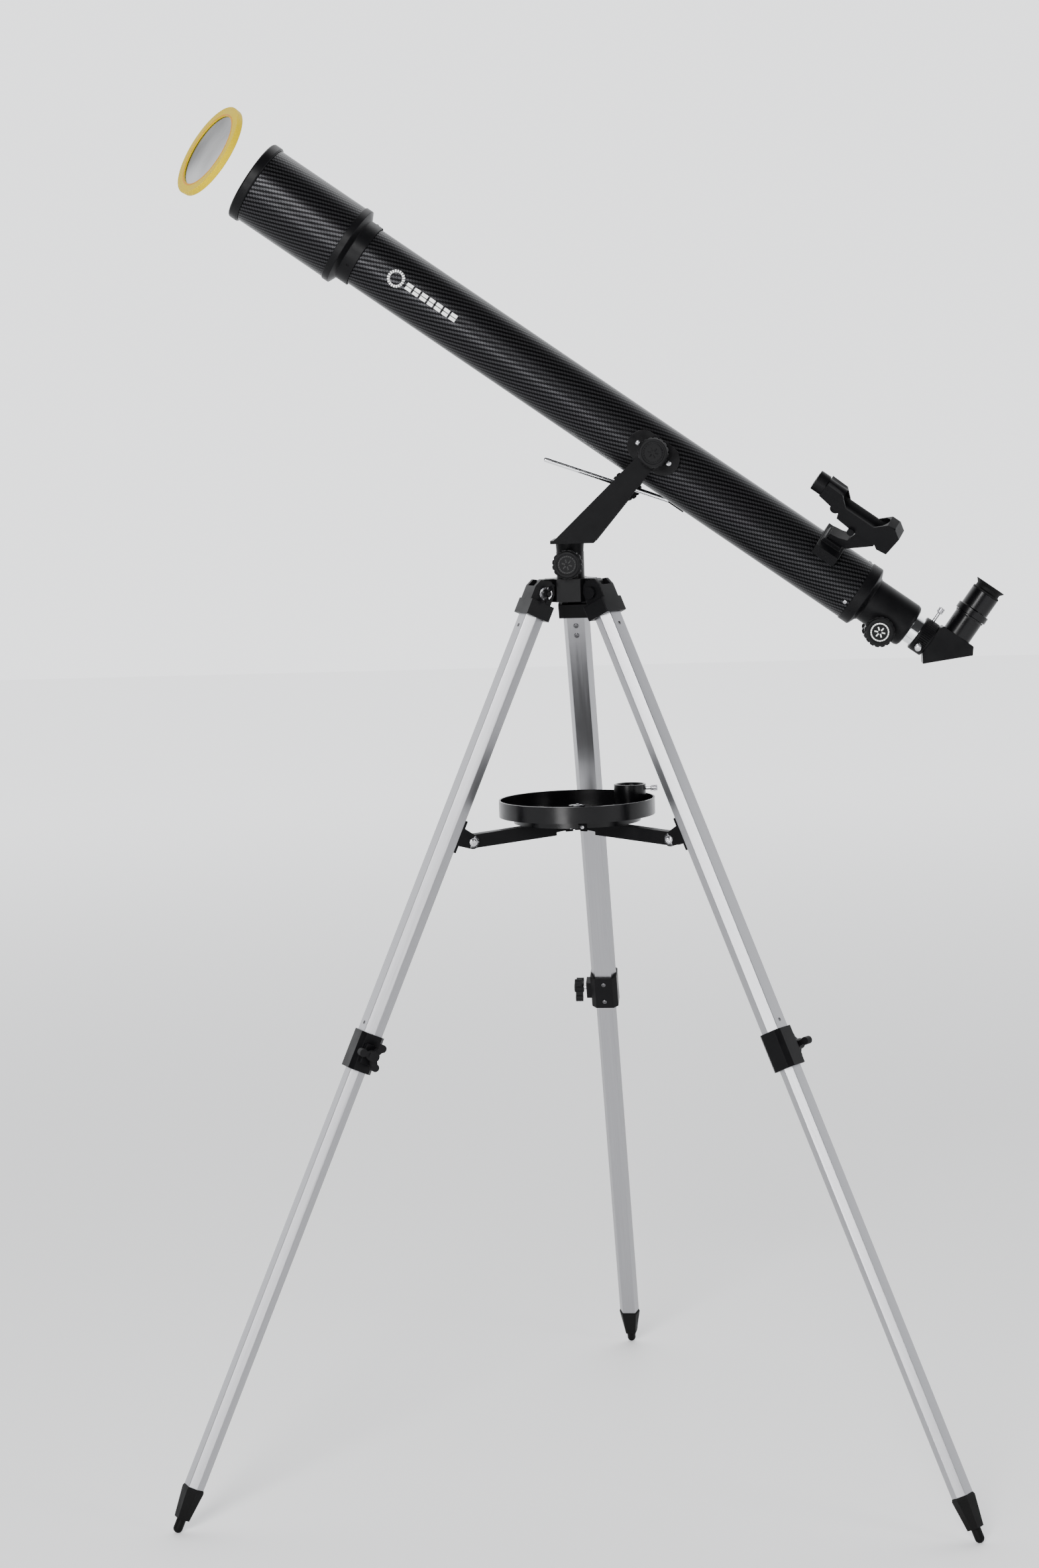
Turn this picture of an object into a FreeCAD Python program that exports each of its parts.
import FreeCAD, Part
import math
import os

from FreeCAD import Placement, Rotation, Vector

# ---------------------------------------------------------------- driving dimensions (mm, degrees)
# World frame: +Z up, origin on the floor under the azimuth axis, optical tube in the XZ plane, front to -X.

LEG_AZIMUTHS = {"rear": 86.82, "left": 206.82, "right": 326.82}
LEG_TILT = 24.86            # leg axis from the vertical
HINGE_R = 40.7              # leg hinge bolt from the azimuth axis
HINGE_Z = 1093.0
HUB_TOP = 1110.0
HUB_BOTTOM = 1082.0
PILLAR_TOP = 1142.0
PILLAR_R = 17.0
FORK_BASE = 1153.0
KNOB_AZIMUTH = 266.82       # direction of the azimuth lock knob
AZ_KNOB_Z = 1127.6

TUBE_ALTITUDE = 35.65
TUBE_ORIGIN = Vector(95.7, 0, 1264.7)
PIVOT = Vector(105.3, 0, 1258.7)      # altitude axis, parallel to Y
SWIVEL = Vector(69.2, 0, 1218.9)      # slow-motion swivel axis, parallel to Y
ROD_ANGLE = 19.94                     # slope of the slow-motion rod below the horizontal
ROD_Y = 30.0
ROD_REACH = 64.0                      # swivel to the rod's eye
ROD_R = 3.2
TUBE_R = 38.0
TUBE_WALL = 2.0
ARM_IN = 44.0
ARM_OUT = 48.0

UPPER_HEX = (12.25, 10.75, 16.5)      # half depth, half flat, half width of the upper leg section
UPPER_WALL_HEX = (10.75, 9.9, 14.9)
LOWER_HEX = (10.0, 8.6, 13.4)
LOWER_WALL_HEX = (8.6, 7.6, 11.5)
SOCKET_TOP = -16.0                    # stations along the leg, measured from its hinge, negative downwards
SOCKET_END = -31.0
UPPER_END = -590.0
CLAMP_TOP = -570.0
CLAMP_END = -617.0
LOWER_TOP = -470.0
LOWER_END = -1147.0
FOOT_STEP = -1186.5
FOOT_R = 5.7
SPREADER_R = 143.0                    # outer spreader pivot, radius and height
SPREADER_Z = 797.7
SPREADER_HUB_R = 12.0                 # inner spreader pivot, radius and height
SPREADER_HUB_Z = 806.0

TRAY_R = 95.8
TRAY_TOP = 840.0
TRAY_FLOOR = 822.5
TRAY_BOTTOM = 820.0
CUP_CENTRE = Vector(64.5, 30.0, TRAY_FLOOR)
CUP_TOP = 853.0

KNOB_R = 18.5
KNOB_SCALLOPS = 16
PINION_S = -356.6                     # pinion axis in the tube frame
PINION_H = -24.5
PINION_TEETH = 12
GEAR_MODULE = 0.75
DRAW_R = 18.3
EYE_S = -438.0                        # eyepiece axis along the tube
FINDER_LEAN = 35.0                    # finder plane leans from the tube's top towards -Y
FINDER_AXIS = 101.5

FILTER_SWING = 29.6                   # angle from seated to parked
FILTER_AXIS_S = 613.0
FILTER_AXIS_Y = 106.0
RING_FRONT = 576.0

X = Vector(1, 0, 0)
Y = Vector(0, 1, 0)
Z = Vector(0, 0, 1)


# ---------------------------------------------------------------- small helpers
def frame(origin, x_axis, z_axis):
    """Placement whose local X and Z lie along the given world directions."""
    return Placement(origin, Rotation(x_axis, z_axis.cross(x_axis), z_axis, "ZXY"))


def put(shape, placement):
    moved = shape.copy()
    moved.Placement = placement.multiply(moved.Placement)
    return moved


def box(x0, x1, y0, y1, z0, z1):
    return Part.makeBox(x1 - x0, y1 - y0, z1 - z0, Vector(x0, y0, z0))


def rod(start, end, radius):
    line = end.sub(start)
    return Part.makeCylinder(radius, line.Length, start, line)


def turn(profile, centre=None, axis=X, out=Z):
    """Solid of revolution: profile is (along axis, radius) points."""
    centre = centre or Vector(0, 0, 0)
    points = [centre + axis * a + out * r for a, r in profile]
    face = Part.Face(Part.makePolygon(points + points[:1]))
    return face.revolve(centre, axis, 360)


def slab(points, y0, y1):
    """Prism along Y from (x, z) points."""
    corners = [Vector(a, y0, b) for a, b in points]
    return Part.Face(Part.makePolygon(corners + corners[:1])).extrude(Y * (y1 - y0))


def column(points, z0, z1):
    """Prism along Z from (x, y) points."""
    corners = [Vector(a, b, z0) for a, b in points]
    return Part.Face(Part.makePolygon(corners + corners[:1])).extrude(Z * (z1 - z0))


def hexagon(section):
    depth, flat, width = section
    return [(depth, -flat), (depth, flat), (0, width), (-depth, flat), (-depth, -flat), (0, -width)]


def hex_column(section, z0, z1):
    return column(hexagon(section), z0, z1)


def scalloped_disc(radius, z0, z1):
    """Disc on Z with finger scallops round its rim."""
    disc = Part.makeCylinder(radius, z1 - z0, Vector(0, 0, z0))
    cutters = []
    for index in range(KNOB_SCALLOPS):
        angle = math.radians(index * 360 / KNOB_SCALLOPS)
        spot = Vector(math.cos(angle), math.sin(angle), 0) * (radius + 2.2)
        cutters.append(Part.makeCylinder(3.2, z1 - z0 + 2, spot + Z * (z0 - 1)))
    return disc.cut(Part.makeCompound(cutters))


def hand_knob(hub_from, rim_from, rim_to, face_to, face_r, bore_r=0, bore_to=0):
    """Round lock knob on Z: hub, scalloped rim and a raised face."""
    knob = Part.makeCylinder(9.0, rim_from - hub_from, Vector(0, 0, hub_from))
    knob = knob.fuse(scalloped_disc(KNOB_R, rim_from, rim_to))
    face = Part.makeCone(face_r, face_r - 1.2, face_to - rim_to, Vector(0, 0, rim_to))
    knob = knob.fuse(face)
    if bore_r:
        knob = knob.cut(Part.makeCylinder(bore_r, bore_to - hub_from, Vector(0, 0, hub_from)))
    return knob.removeSplitter()


def save(name, *solids):
    shape = solids[0] if len(solids) == 1 else Part.makeCompound(list(solids))
    if len(solids) == 1 and len(shape.Solids) == 1:
        shape = shape.Solids[0]
    shape.exportStep("parts/" + name + ".step")


# ---------------------------------------------------------------- frames of the assemblies
altitude = math.radians(TUBE_ALTITUDE)
tube_front = Vector(-math.cos(altitude), 0, math.sin(altitude))
tube_up = Vector(math.sin(altitude), 0, math.cos(altitude))
TUBE = frame(TUBE_ORIGIN, tube_front, tube_up)
FINDER = TUBE.multiply(Placement(Vector(0, 0, 0), Rotation(X, -FINDER_LEAN)))


def radial_frame(azimuth):
    angle = math.radians(azimuth)
    return frame(Vector(0, 0, 0), Vector(math.cos(angle), math.sin(angle), 0), Z)


def leg_frame(azimuth):
    """Local X out of the leg's outer face, local Z up along the leg, origin at the hinge bolt."""
    tilt = Placement(Vector(HINGE_R, 0, HINGE_Z), Rotation(Y, -LEG_TILT))
    return radial_frame(azimuth).multiply(tilt)


# ---------------------------------------------------------------- tripod head
def hub_tongue():
    profile = [(10, HUB_BOTTOM), (HINGE_R + 2, HUB_BOTTOM), (HINGE_R + 8, HINGE_Z - 6), (HINGE_R + 9, HINGE_Z),
               (HINGE_R + 3, HUB_TOP - 3), (HINGE_R - 2, HUB_TOP), (10, HUB_TOP)]
    tongue = slab(profile, -8.0, 8.0)
    return tongue.cut(rod(Vector(HINGE_R, -20, HINGE_Z), Vector(HINGE_R, 20, HINGE_Z), 3.05))


def tripod_head():
    core_r = 34.0
    corners = []
    for azimuth in LEG_AZIMUTHS.values():
        for side in (-28.0, 28.0):
            angle = math.radians(azimuth + side)
            corners.append((core_r * math.cos(angle), core_r * math.sin(angle)))
    head = column(corners, HUB_BOTTOM, HUB_TOP)
    for azimuth in LEG_AZIMUTHS.values():
        head = head.fuse(put(hub_tongue(), radial_frame(azimuth)))
        notch = box(27.0, 70.0, 8.0, 40.0, HUB_BOTTOM - 1, HUB_TOP + 1)
        mirror = box(27.0, 70.0, -40.0, -8.0, HUB_BOTTOM - 1, HUB_TOP + 1)
        head = head.cut(put(notch, radial_frame(azimuth)))
        head = head.cut(put(mirror, radial_frame(azimuth)))
    pillar = Part.makeCylinder(PILLAR_R, PILLAR_TOP - HUB_TOP, Vector(0, 0, HUB_TOP))
    head = head.fuse(pillar)
    head = head.cut(Part.makeCylinder(6.05, 40, Vector(0, 0, PILLAR_TOP - 28)))
    screw_hole = rod(Vector(5, 0, AZ_KNOB_Z), Vector(25, 0, AZ_KNOB_Z), 3.05)
    return head.cut(put(screw_hole, radial_frame(KNOB_AZIMUTH))).removeSplitter()


def leg_bolt():
    """Hinge bolt with head, washer and wing nut, along local Y through the leg hinge."""
    shank = Part.makeCylinder(3.0, 44, Vector(0, -17.0, 0), Y)
    head = Part.makeCylinder(7.0, 4, Vector(0, -19.2, 0), Y)
    washer = Part.makeCylinder(8.0, 1.6, Vector(0, 15.2, 0), Y)
    boss = Part.makeCone(5.5, 4.2, 7, Vector(0, 16.8, 0), Y)
    bolt = shank.fuse([head, washer, boss])
    for side in (1, -1):
        blade = [(side * 3.0, 18.0), (side * 9.0, 20.5), (side * 12.5, 30.0), (side * 8.0, 31.0), (side * 3.2, 24.5)]
        corners = [Vector(-1.2, b, a) for a, b in blade]
        wing = Part.Face(Part.makePolygon(corners + corners[:1])).extrude(X * 2.4)
        bolt = bolt.fuse(wing)
    return bolt.removeSplitter()


# ---------------------------------------------------------------- legs
def hinge_block():
    sleeve = box(-15.5, 15.5, -20.0, 20.0, SOCKET_END, -12.0)
    sleeve = sleeve.cut(hex_column(UPPER_HEX, SOCKET_END - 1, SOCKET_TOP))
    block = sleeve
    cheek = [(15.5, -13.0), (15.5, 4.0), (11.5, 13.5), (-1.0, 16.5), (-7.0, 13.0), (-12.0, 4.0), (-12.0, -13.0)]
    for y0 in (-15.0, 8.5):
        block = block.fuse(slab(cheek, y0, y0 + 6.5))
    back = box(12.5, 15.5, -15.0, 15.0, -13.0, 4.0)
    block = block.fuse(back)
    block = block.cut(rod(Vector(0, -30, 0), Vector(0, 30, 0), 3.06))
    return block.removeSplitter()


def upper_leg():
    leg = hex_column(UPPER_HEX, UPPER_END, SOCKET_TOP)
    return leg.cut(hex_column(UPPER_WALL_HEX, UPPER_END - 1, SOCKET_TOP + 1))


def lower_leg():
    leg = hex_column(LOWER_HEX, LOWER_END, LOWER_TOP)
    return leg.cut(hex_column(LOWER_WALL_HEX, LOWER_END - 1, LOWER_TOP + 1))


def leg_clamp():
    outline = [(15.2, -11.5), (15.2, 11.5), (10, 17.5), (-10, 17.5), (-15.2, 11.5), (-15.2, -11.5),
               (-10, -17.5), (10, -17.5)]
    collar = column(outline, CLAMP_END, CLAMP_TOP)
    collar = collar.fuse(box(-7.5, 7.5, 15.0, 24.0, CLAMP_END + 11, CLAMP_TOP - 12))
    collar = collar.cut(hex_column(UPPER_HEX, UPPER_END, CLAMP_TOP + 1))
    collar = collar.cut(hex_column((10.4, 8.9, 13.9), CLAMP_END - 1, UPPER_END + 1))
    stud_z = (CLAMP_END + CLAMP_TOP) / 2
    return collar.cut(rod(Vector(0, 16, stud_z), Vector(0, 30, stud_z), 2.55)).removeSplitter()


def clamp_knob():
    """Three-lobed tightening knob on a steel stud along local Y."""
    stud_z = (CLAMP_END + CLAMP_TOP) / 2
    stud = rod(Vector(0, 17.5, stud_z), Vector(0, 31, stud_z), 2.5)
    body = rod(Vector(0, 28, stud_z), Vector(0, 40, stud_z), 6.5)
    knob = stud.fuse(body)
    for turn_angle in (90, 210, 330):
        lobe = box(-3.2, 3.2, 29.0, 38.5, 0, 14.0).fuse(rod(Vector(0, 29, 14), Vector(0, 38.5, 14), 4.8))
        spin = Placement(Vector(0, 0, stud_z), Rotation(Y, turn_angle))
        knob = knob.fuse(put(lobe, spin))
    return knob.removeSplitter()


def foot_tip():
    foot_sphere = -(HINGE_Z - FOOT_R) / math.cos(math.radians(LEG_TILT))
    rings = []
    for section, height in ((LOWER_HEX, LOWER_END), ((11.0, 9.4, 14.4), LOWER_END - 3), ((7.6, 6.6, 8.6), FOOT_STEP)):
        corners = [Vector(a, b, height) for a, b in hexagon(section)]
        rings.append(Part.makePolygon(corners + corners[:1]))
    shoe = Part.makeLoft(rings, True, True)
    nub = Part.makeCylinder(FOOT_R, FOOT_STEP - foot_sphere + 1, Vector(0, 0, foot_sphere))
    ball = Part.makeSphere(FOOT_R, Vector(0, 0, foot_sphere))
    return shoe.fuse([nub, ball]).removeSplitter()


def spreader_pivot_on_leg():
    out = SPREADER_R - HINGE_R
    drop = SPREADER_Z - HINGE_Z
    tilt = math.radians(LEG_TILT)
    return Vector(out * math.cos(tilt) + drop * math.sin(tilt), 0, -out * math.sin(tilt) + drop * math.cos(tilt))


def spreader_bracket():
    pivot = spreader_pivot_on_leg()
    face = -UPPER_HEX[0]
    bracket = box(face - 3.2, face, -10.0, 10.0, pivot.z - 20.5, pivot.z + 20.5)
    for y0 in (-9.8, 7.2):
        web = slab([(face - 1, pivot.z - 11.5), (pivot.x, pivot.z - 8.7), (pivot.x, pivot.z + 8.7),
                    (face - 1, pivot.z + 11.5)], y0, y0 + 2.6)
        end = Part.makeCylinder(8.7, 2.6, Vector(pivot.x, y0, pivot.z), Y)
        bracket = bracket.fuse([web, end])
    hole = rod(Vector(pivot.x, -12, pivot.z), Vector(pivot.x, 12, pivot.z), 2.5)
    bracket = bracket.cut(hole).removeSplitter()
    pin = rod(Vector(pivot.x, -9.8, pivot.z), Vector(pivot.x, 9.8, pivot.z), 2.5)
    head = rod(Vector(pivot.x, 9.8, pivot.z), Vector(pivot.x, 11.6, pivot.z), 5.0)
    tail = rod(Vector(pivot.x, -11.6, pivot.z), Vector(pivot.x, -9.8, pivot.z), 5.0)
    return bracket, pin.fuse([head, tail]).removeSplitter()


def spreader_arm():
    """Channel arm in the leg's upright plane: local X outwards, Z up."""
    slope = (SPREADER_HUB_Z - SPREADER_Z) / (SPREADER_R - SPREADER_HUB_R)

    def rise(r, offset):
        return SPREADER_Z + (SPREADER_R - r) * slope + offset

    start, stop = 31.0, SPREADER_R
    lid = 812.0
    outline = [(start, rise(start, -8.0)), (stop, rise(stop, -8.2)), (stop + 5.8, rise(stop, -5.8)),
               (stop + 8.2, rise(stop, 0)), (stop + 5.8, rise(stop, 5.8)), (stop, rise(stop, 8.2)),
               (70.0, lid - 1.2), (start, lid)]
    arm = slab(outline, -6.8, 6.8)
    inner = [(start + 6, rise(start, -10.0)), (stop + 12, rise(stop, -10.0)), (stop + 12, rise(stop, 6.4)),
             (70.0, lid - 3.0), (start + 6, lid - 1.8)]
    arm = arm.cut(slab(inner, -5.2, 5.2))
    tongue = [(start + 2, rise(start, -5)), (start + 2, rise(start, 5)), (SPREADER_HUB_R, SPREADER_HUB_Z + 3.8),
              (SPREADER_HUB_R - 3.8, SPREADER_HUB_Z), (SPREADER_HUB_R, SPREADER_HUB_Z - 3.8)]
    arm = arm.fuse(slab(tongue, -3.0, 3.0))
    hole = rod(Vector(SPREADER_R, -12, SPREADER_Z), Vector(SPREADER_R, 12, SPREADER_Z), 2.56)
    return arm.cut(hole).removeSplitter()


def spreader_hub():
    hub = Part.makeCylinder(21.0, 2.5, Vector(0, 0, 814.5))
    for azimuth in LEG_AZIMUTHS.values():
        for y0 in (-6.8, 4.3):
            ear = slab([(7.5, 815), (20.0, 815), (18.0, 800.5), (9.0, 800.5)], y0, y0 + 2.5)
            hub = hub.fuse(put(ear, radial_frame(azimuth)))
    return hub.removeSplitter()


def accessory_tray():
    tray = Part.makeCylinder(TRAY_R, TRAY_TOP - TRAY_BOTTOM, Vector(0, 0, TRAY_BOTTOM))
    tray = tray.cut(Part.makeCylinder(TRAY_R - 2.0, 40, Vector(0, 0, TRAY_FLOOR)))
    pan = Part.makeCylinder(78.0, 8.2, Vector(0, 0, TRAY_BOTTOM - 8.0))
    pan = pan.cut(Part.makeCylinder(75.5, 5.0, Vector(0, 0, TRAY_BOTTOM - 8.0)))
    boss = Part.makeCylinder(10.0, 9.5, Vector(0, 0, TRAY_FLOOR - 0.5))
    tray = tray.fuse([pan, boss])
    for spot in (Vector(-58, 22, 0), Vector(8, -62, 0)):
        tray = tray.fuse(Part.makeCylinder(20.0, 4.5, spot + Z * (TRAY_FLOOR - 0.5)))
        tray = tray.cut(Part.makeCylinder(16.2, 40, spot + Z * (TRAY_BOTTOM - 10)))
    return tray.removeSplitter()


def eyepiece_cup():
    centre = CUP_CENTRE
    height = CUP_TOP - TRAY_FLOOR
    profile = [(0, 16.0), (0, 18.9), (13.0, 18.9), (14.5, 19.7), (height, 19.7), (height, 17.6), (height - 2.0, 16.0)]
    cup = turn(profile, centre, Z, X)
    level = centre + Z * (height - 5.5)
    return cup.cut(rod(level + X * 10, level + X * 30, 1.95)).removeSplitter()


def cup_screw():
    level = CUP_CENTRE + Z * (CUP_TOP - TRAY_FLOOR - 5.5)
    shank = rod(level + X * 16.6, level + X * 27, 1.9)
    return shank.fuse(rod(level + X * 25.5, level + X * 34, 3.9)).removeSplitter()


# ---------------------------------------------------------------- fork mount
def yoke_fork():
    foot = [(-21.4, FORK_BASE), (31.0, FORK_BASE)]
    right = Vector(101.3, 0, 1236.4)
    left = Vector(86.0, 0, 1255.0)
    arm_points = foot + [(right.x, right.z), (right.x + 8, right.z + 12), (left.x + 8, left.z + 8), (left.x, left.z)]
    fork = box(-21.4, 31.0, -ARM_OUT, ARM_OUT, FORK_BASE, FORK_BASE + 4)
    for y0 in (-ARM_OUT, ARM_IN):
        arm = slab(arm_points, y0, y0 + ARM_OUT - ARM_IN)
        crown = Part.makeCylinder(14.0, ARM_OUT - ARM_IN, Vector(PIVOT.x, y0, PIVOT.z), Y)
        fork = fork.fuse([arm, crown])
    boss = Part.makeCone(16.6, 17.4, FORK_BASE - PILLAR_TOP, Vector(0, 0, PILLAR_TOP))
    stud = Part.makeCylinder(6.0, 26, Vector(0, 0, PILLAR_TOP - 25))
    fork = fork.fuse([boss, stud])
    fork = fork.cut(rod(PIVOT - Y * 60, PIVOT + Y * 60, 4.06))
    return fork.cut(rod(SWIVEL + Y * 40, SWIVEL + Y * 55, 4.05)).removeSplitter()


def azimuth_knob():
    stem = Part.makeCylinder(3.0, 12.5, Vector(0, 0, 6.6))
    knob = hand_knob(18.6, 29.6, 38.0, 41.5, 16.4).fuse(stem)
    outward = Placement(Vector(0, 0, AZ_KNOB_Z), Rotation(Y, 90))
    return put(knob.removeSplitter(), radial_frame(KNOB_AZIMUTH).multiply(outward))


def altitude_knob(side):
    """Lock knob outside one fork arm; side is -1 for the -Y arm and 1 for the +Y arm."""
    knob = hand_knob(48.4, 50.5, 60.0, 63.5, 17.6, 4.06, 57.0)
    return put(knob, Placement(PIVOT, Rotation(X, -90 * side)))


def rod_direction():
    angle = math.radians(ROD_ANGLE)
    return Vector(math.cos(angle), 0, -math.sin(angle))


def rod_swivel():
    """Swivel block on the inside of the +Y arm; the slow-motion rod slides through it."""
    centre = SWIVEL + Y * ROD_Y
    block = rod(SWIVEL + Y * (ROD_Y - 8), SWIVEL + Y * 43.6, 7.5)
    trunnion = rod(SWIVEL + Y * 42, SWIVEL + Y * 56, 4.0)
    swivel = block.fuse(trunnion)
    return swivel.cut(rod(centre - rod_direction() * 15, centre + rod_direction() * 15, ROD_R + 0.05)).removeSplitter()


def rod_lock_knob():
    knob = hand_knob(48.4, 50.0, 58.0, 61.5, 16.4, 4.06, 57.0)
    return put(knob, Placement(SWIVEL, Rotation(X, -90)))


def slow_motion_rod():
    centre = SWIVEL + Y * ROD_Y
    front = centre - rod_direction() * 103.0
    rear = centre + rod_direction() * ROD_REACH
    shaft = rod(front, rear, ROD_R)
    eye = Part.makeCylinder(4.2, 5.0, rear - Y * 2.5, Y)
    return shaft.fuse([Part.makeSphere(ROD_R, front), eye]).removeSplitter()


# ---------------------------------------------------------------- optical tube
# Tube frame: local X to the front, local Y to world -Y, local Z up.
def main_tube():
    outer = turn([(-307, TUBE_R - TUBE_WALL), (-307, TUBE_R), (411, TUBE_R), (411, TUBE_R - TUBE_WALL)])
    return put(outer, TUBE)


def pivot_in_tube():
    return TUBE.inverse().multVec(PIVOT)


def pivot_plates():
    """Oval saddle plates screwed to both sides of the tube, each with its altitude stub."""
    centre = pivot_in_tube()
    half_length, half_height = 15.0, 19.0
    inside, outside = 30.0, 42.5
    plates = []
    for side in (-1, 1):
        near, far = sorted((side * inside, side * outside))
        plate = box(centre.x - half_length, centre.x + half_length, near, far,
                    centre.z - half_height, centre.z + half_height)
        for end in (-1, 1):
            middle = Vector(centre.x + end * half_length, near, centre.z)
            plate = plate.fuse(Part.makeCylinder(half_height, far - near, middle, Y))
        plate = plate.cut(Part.makeCylinder(TUBE_R, 200, Vector(-100, 0, 0), X))
        stub = rod(centre + Y * side * (outside - 3.5), centre + Y * side * 56, 4.0)
        plates.append(put(plate.fuse(stub).removeSplitter(), TUBE))
    return plates


def lens_cell():
    profile = [(395, 33.5), (395, 35.9), (411, 35.9), (411, 40.3), (427, 40.3), (432, 50.2), (440.7, 50.2),
               (440.7, 46.6), (436, 46.6), (436, 35.4), (416, 35.4), (416, 33.5)]
    return put(turn(profile), TUBE)


def objective_lens():
    """Cemented doublet seen as one biconvex glass in its cell."""
    rim, back, front, crown = 35.3, 417.5, 426.0, 5.0
    glass = Part.makeCylinder(rim, front - back, Vector(back, 0, 0), X)
    ball_r = (rim ** 2 + crown ** 2) / (2 * crown)
    cap = Part.makeSphere(ball_r, Vector(front + crown - ball_r, 0, 0))
    cap = cap.common(Part.makeCylinder(rim, crown + 1, Vector(front, 0, 0), X))
    return put(glass.fuse(cap).removeSplitter(), TUBE)


def dew_shield():
    return put(turn([(440.7, 46.8), (440.7, 48.7), (563.8, 48.7), (563.8, 46.8)]), TUBE)


def dew_shield_ring():
    profile = [(563.8, 46.4), (563.8, 50.3), (564.8, 51.3), (574.8, 51.3), (RING_FRONT, 50.1), (RING_FRONT, 46.4)]
    return put(turn(profile), TUBE)


def rear_cell():
    profile = [(-297, 33.5), (-297, 35.9), (-307, 35.9), (-307, 39.2), (-320, 39.2), (-321.5, 37.4), (-325, 29.6),
               (-326.5, 28.9), (-326.5, 22.5), (-316, 22.5), (-316, 33.5)]
    return put(turn(profile), TUBE)


def focuser_body():
    profile = [(-326.5, 18.7), (-326.5, 28.0), (-381, 28.0), (-384.5, 26.6), (-386, 23.8), (-386, 18.7)]
    body = turn(profile)
    housing = box(PINION_S - 15, PINION_S + 15, -20, 20, PINION_H - 8.5, PINION_H + 9)
    body = body.fuse(housing)
    body = body.cut(turn([(-330, 0), (-330, 18.7), (-387, 18.7), (-387, 0)]))
    body = body.cut(box(-387, -326, -4.4, 4.4, PINION_H + 3.2, -15))
    pinion_room = rod(Vector(PINION_S, -7, PINION_H), Vector(PINION_S, 7, PINION_H), 6.2)
    shaft_hole = rod(Vector(PINION_S, -40, PINION_H), Vector(PINION_S, 40, PINION_H), 3.05)
    return put(body.cut(pinion_room).cut(shaft_hole).removeSplitter(), TUBE)


def rod_bracket():
    """Lug under the tube's +Y side that takes the rod's eye between two ears."""
    rod_end = SWIVEL + Y * ROD_Y + rod_direction() * ROD_REACH
    spot = TUBE.inverse().multVec(rod_end)
    lug = box(spot.x - 14, spot.x + 8, spot.y - 6.0, spot.y + 6.0, spot.z - 5, -14)
    lug = lug.cut(box(spot.x - 11, spot.x + 20, spot.y - 3.6, spot.y + 3.6, spot.z - 9, -14))
    lug = lug.cut(Part.makeCylinder(TUBE_R, 200, Vector(-200, 0, 0), X))
    strap = box(spot.x - 30, spot.x - 11, spot.y - 9, spot.y + 9, -34, -14)
    strap = strap.common(turn([(-150, TUBE_R), (-150, TUBE_R + 2.4), (-20, TUBE_R + 2.4), (-20, TUBE_R)]))
    return put(lug.fuse(strap).removeSplitter(), TUBE)


# ---------------------------------------------------------------- focuser
def gear_tooth(root, tip, half_root, half_pitch, half_tip, pitch):
    return [(root, -half_root), (pitch, -half_pitch), (tip, -half_tip), (tip, half_tip), (pitch, half_pitch),
            (root, half_root)]


def drawtube():
    tube = turn([(-397, 16.6), (-397, DRAW_R), (-250, DRAW_R), (-250, 16.6)])
    pitch_h = PINION_H + GEAR_MODULE * PINION_TEETH / 2
    tooth_pitch = math.pi * GEAR_MODULE
    tube = tube.fuse(box(-368, -270, -3.6, 3.6, pitch_h + 0.95, -17.2))
    teeth = []
    for index in range(-5, 36):
        centre = PINION_S + (index + 0.5) * tooth_pitch
        outline = [(centre - 0.72, pitch_h + 1.0), (centre - 0.4, pitch_h - 0.55), (centre + 0.4, pitch_h - 0.55),
                   (centre + 0.72, pitch_h + 1.0)]
        teeth.append(slab(outline, -3.6, 3.6))
    tube = tube.fuse(teeth)
    return put(tube.removeSplitter(), TUBE)


def focus_knobs():
    """Pinion shaft with a knob at each end."""
    pitch_r = GEAR_MODULE * PINION_TEETH / 2
    shaft = Part.makeCylinder(3.0, 64, Vector(0, 0, -32))
    pinion = Part.makeCylinder(pitch_r - 0.9, 11, Vector(0, 0, -5.5))
    teeth = []
    for index in range(PINION_TEETH):
        outline = [(pitch_r - 1.2, -0.66), (pitch_r, -0.42), (pitch_r + 0.55, -0.22), (pitch_r + 0.55, 0.22),
                   (pitch_r, 0.42), (pitch_r - 1.2, 0.66)]
        tooth = column(outline, -5.5, 5.5)
        teeth.append(put(tooth, Placement(Vector(0, 0, 0), Rotation(Z, 90 + index * 360 / PINION_TEETH))))
    wheel = shaft.fuse([pinion] + teeth)
    for side in (0, 180):
        knob = hand_knob(29.2, 31.0, 40.0, 43.5, 16.8)
        wheel = wheel.fuse(put(knob, Placement(Vector(0, 0, 0), Rotation(X, side))))
    spot = Placement(Vector(PINION_S, 0, PINION_H), Rotation(X, -90))
    return put(wheel.removeSplitter(), TUBE.multiply(spot))


def drawtube_adapter():
    profile = [(-397, 16.2), (-397, 21.0), (-398.5, 22.0), (-414, 22.0), (-415, 21.4), (-415, 16.2)]
    ring = turn(profile)
    for angle in (0, -112):
        hole = rod(Vector(-405.5, 0, 10), Vector(-405.5, 0, 30), 2.0)
        ring = ring.cut(put(hole, Placement(Vector(0, 0, 0), Rotation(X, angle))))
    return put(ring.removeSplitter(), TUBE)


def adapter_screws():
    screws = []
    for angle in (0, -112):
        shank = rod(Vector(-405.5, 0, 16.4), Vector(-405.5, 0, 35), 2.0)
        head = rod(Vector(-405.5, 0, 33.5), Vector(-405.5, 0, 41), 4.0)
        spin = Placement(Vector(0, 0, 0), Rotation(X, angle))
        screws.append(put(shank.fuse(head).removeSplitter(), TUBE.multiply(spin)))
    return screws


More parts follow.
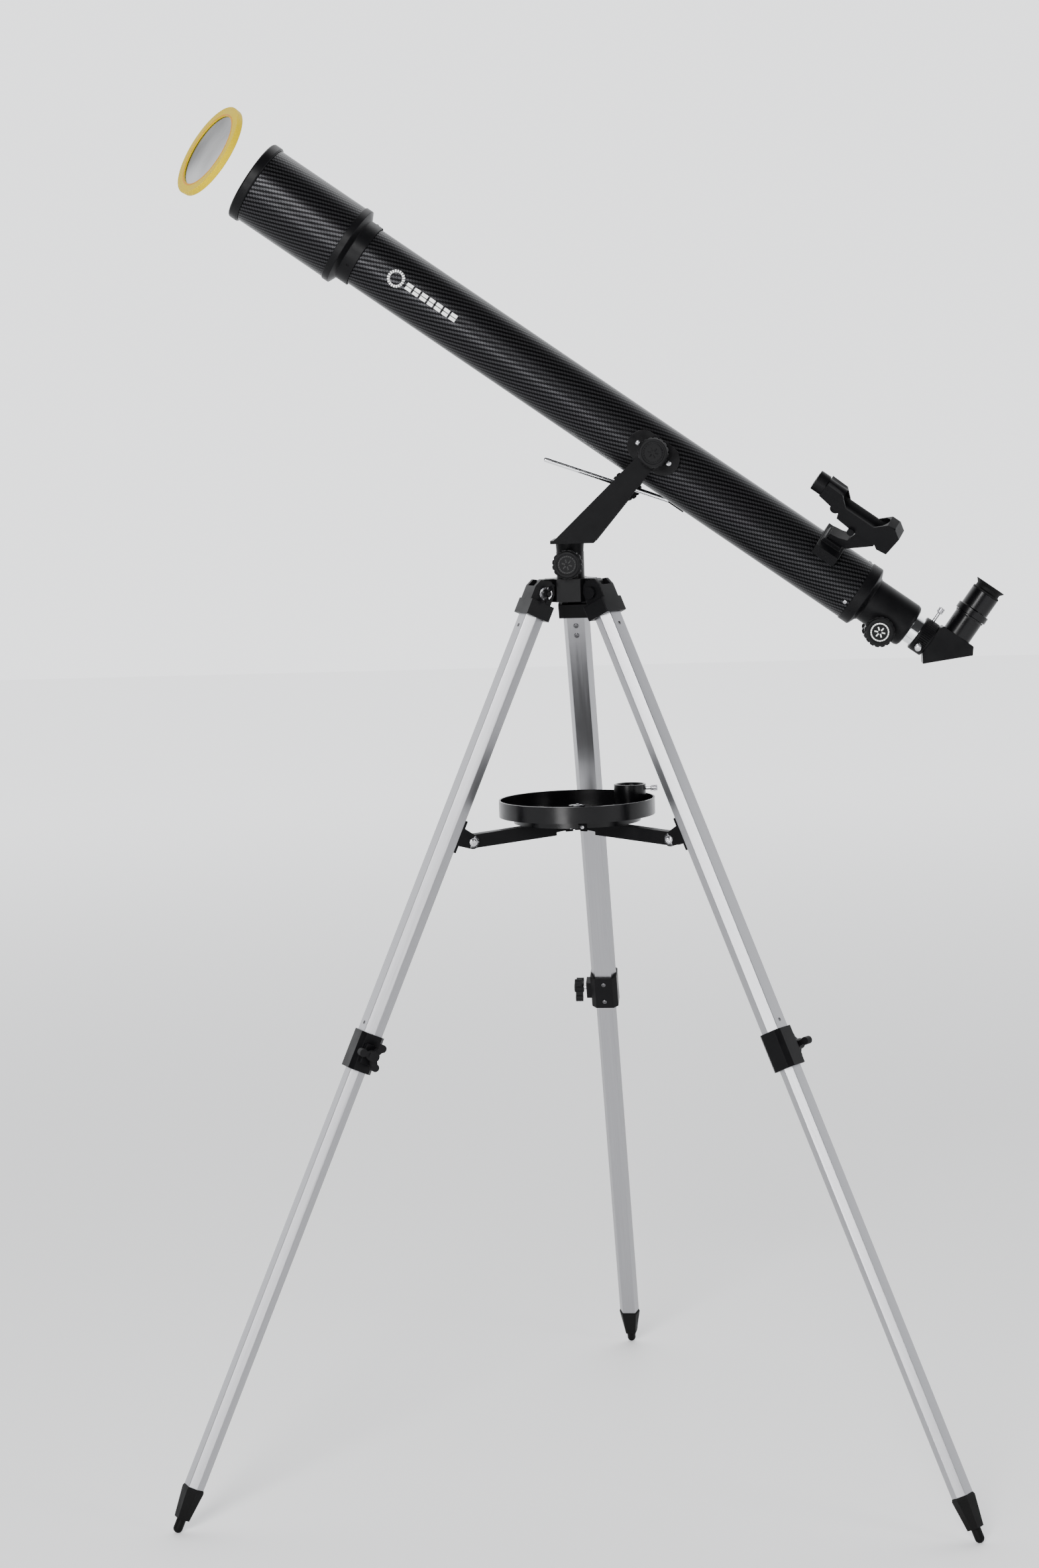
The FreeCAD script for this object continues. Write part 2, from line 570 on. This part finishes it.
# ---------------------------------------------------------------- star diagonal and eyepiece
def diagonal_housing():
    outline = [(-415.2, 19), (-415.2, -17), (-423, -27.4), (-466.8, 14.5), (-461.4, 23.8), (-418, 23.8)]
    inner = [(-418.2, 17), (-418.2, -16), (-423.4, -23), (-462.6, 14.5), (-459.5, 20.8), (-419.5, 20.8)]
    housing = slab(outline, -18, 18).cut(slab(inner, -15.5, 15.5))
    housing = housing.cut(rod(Vector(-410, 0, 0), Vector(-430, 0, 0), 14.0))
    housing = housing.fuse(turn([(-415.2, 14.0), (-415.2, 16.1), (-399, 16.1), (-399, 14.0)]))
    housing = housing.cut(rod(Vector(EYE_S, 0, 15), Vector(EYE_S, 0, 30), 14.0))
    return put(housing.removeSplitter(), TUBE)


def diagonal_mirror():
    across = Vector(-462.6 + 423.4, 0, 14.5 + 23).normalize()
    inward = Vector(across.z, 0, -across.x)
    middle = Vector((-462.6 - 423.4) / 2, 0, (14.5 - 23) / 2)
    plate = Part.makeBox(44, 29, 3, Vector(-22, -14.5, 0.05))
    return put(plate, TUBE.multiply(frame(middle, across, inward)))


def eyepiece_holder():
    profile = [(23.8, 16.0), (23.8, 18.0), (49.0, 18.0), (50.2, 19.0), (52.0, 19.0), (52.0, 16.0)]
    return put(turn(profile, Vector(EYE_S, 0, 0), Z, X), TUBE)


def eyepiece():
    profile = [(28, 13.6), (28, 15.9), (52.2, 15.9), (52.2, 20.5), (60.4, 20.5), (61.2, 17.8), (84, 17.8), (84, 12.4),
               (66, 12.4), (60, 13.6)]
    return put(turn(profile, Vector(EYE_S, 0, 0), Z, X), TUBE)


def eyepiece_lens():
    return put(Part.makeCylinder(12.3, 6.0, Vector(EYE_S, 0, 74)), TUBE)


def eyecup():
    profile = [(84, 12.6), (84, 17.8), (86.2, 17.8), (87.4, 15.8), (91, 15.8), (95, 19.3), (96, 19.1), (92.2, 14.2),
               (88, 12.6)]
    return put(turn(profile, Vector(EYE_S, 0, 0), Z, X), TUBE)


# ---------------------------------------------------------------- finder
def finder_base():
    saddle = box(-266, -234, -26, 26, 24.0, 42.0)
    saddle = saddle.cut(Part.makeCylinder(TUBE_R, 400, Vector(-400, 0, 0), X))
    shoe = slab([(-262, 41), (-236, 41), (-238, 48), (-262, 48)], -13, 13)
    return put(saddle.fuse(shoe).removeSplitter(), FINDER)


def finder_body():
    """Reflex finder: front window ring, boat-shaped body, clamp foot and its small wheels."""
    axis = FINDER_AXIS
    keel = slab([(-214, 90), (-234, 86), (-236, 79), (-264, 76), (-291, 78), (-296, 74), (-309, 76), (-311, 104),
                 (-300, 113), (-290, 112), (-278, 98), (-238, 98), (-226, 111), (-204, 112), (-203, 92)], -11, 11)
    keel = keel.common(Part.makeCylinder(26, 130, Vector(-320, 0, axis - 13), X))
    neck = Part.makeCylinder(11.2, 30, Vector(-230, 0, axis), X)
    ring = Part.makeCylinder(12.8, 13, Vector(-203, 0, axis), X)
    foot = slab([(-240, 48.2), (-240, 54), (-252, 56), (-262, 60), (-266, 79), (-291, 80), (-291, 74), (-266, 48.2)],
                -9, 9)
    body = keel.fuse([neck, ring, foot])
    body = body.cut(Part.makeCylinder(9.4, 108, Vector(-298, 0, axis + 1), X))
    body = body.cut(box(-286, -228, -9.4, 9.4, axis - 2, axis + 30))
    wheel = Part.makeCylinder(6.0, 9, Vector(-228, -4.5, 84), Y)
    pin = Part.makeCylinder(4.6, 30, Vector(-259, -15, 76), Y)
    return put(body.fuse([wheel, pin]).removeSplitter(), FINDER)


# ---------------------------------------------------------------- solar filter
def filter_place():
    """The filter is drawn seated in front of the dew shield and swung to where it is parked."""
    hinge = Vector(FILTER_AXIS_S, FILTER_AXIS_Y, 0)
    return TUBE.multiply(Placement(Vector(0, 0, 0), Rotation(Z, FILTER_SWING), hinge))


def solar_filter_ring():
    back = RING_FRONT + 1.0
    front = back + 8.0
    profile = [(back, 51.9), (back, 59.4), (front - 1, 60.0), (front, 59.6), (front, 47.0), (front - 1.6, 46.6),
               (front - 1.6, 51.9)]
    return put(turn(profile), filter_place())


def solar_filter_film():
    front = RING_FRONT + 9.0
    return put(Part.makeCylinder(51.8, 0.5, Vector(front - 2.1, 0, 0), X), filter_place())


# ---------------------------------------------------------------- write the parts
os.makedirs("parts", exist_ok=True)

save("tripod_head", tripod_head())
save("leg_bolts", *[put(leg_bolt(), leg_frame(azimuth)) for azimuth in LEG_AZIMUTHS.values()])

LEG_PARTS = {
    "hinge_block": hinge_block(),
    "upper_leg": upper_leg(),
    "leg_clamp": leg_clamp(),
    "lower_leg": lower_leg(),
    "foot_tip": foot_tip(),
    "clamp_knob": clamp_knob(),
}
for leg, azimuth in LEG_AZIMUTHS.items():
    for part_name, shape in LEG_PARTS.items():
        save(part_name + "_" + leg, put(shape, leg_frame(azimuth)))
    save("spreader_bracket_" + leg, *[put(shape, leg_frame(azimuth)) for shape in spreader_bracket()])
    save("spreader_arm_" + leg, put(spreader_arm(), radial_frame(azimuth)))

save("spreader_hub", spreader_hub())
save("accessory_tray", accessory_tray())
save("eyepiece_cup", eyepiece_cup())
save("cup_screw", cup_screw())

save("yoke_fork", yoke_fork())
save("azimuth_knob", azimuth_knob())
save("altitude_knob_near", altitude_knob(-1))
save("altitude_knob_far", altitude_knob(1))
save("rod_swivel", rod_swivel())
save("rod_lock_knob", rod_lock_knob())
save("slow_motion_rod", slow_motion_rod())

save("main_tube", main_tube())
save("pivot_plates", *pivot_plates())
save("lens_cell", lens_cell())
save("objective_lens", objective_lens())
save("dew_shield", dew_shield())
save("dew_shield_ring", dew_shield_ring())
save("rear_cell", rear_cell())
save("focuser_body", focuser_body())
save("rod_bracket", rod_bracket())

save("drawtube", drawtube())
save("focus_knobs", focus_knobs())
save("drawtube_adapter", drawtube_adapter())
save("adapter_screws", *adapter_screws())
save("diagonal_housing", diagonal_housing())
save("diagonal_mirror", diagonal_mirror())
save("eyepiece_holder", eyepiece_holder())
save("eyepiece", eyepiece())
save("eyepiece_lens", eyepiece_lens())
save("eyecup", eyecup())

save("finder_base", finder_base())
save("finder_body", finder_body())
save("solar_filter_ring", solar_filter_ring())
save("solar_filter_film", solar_filter_film())
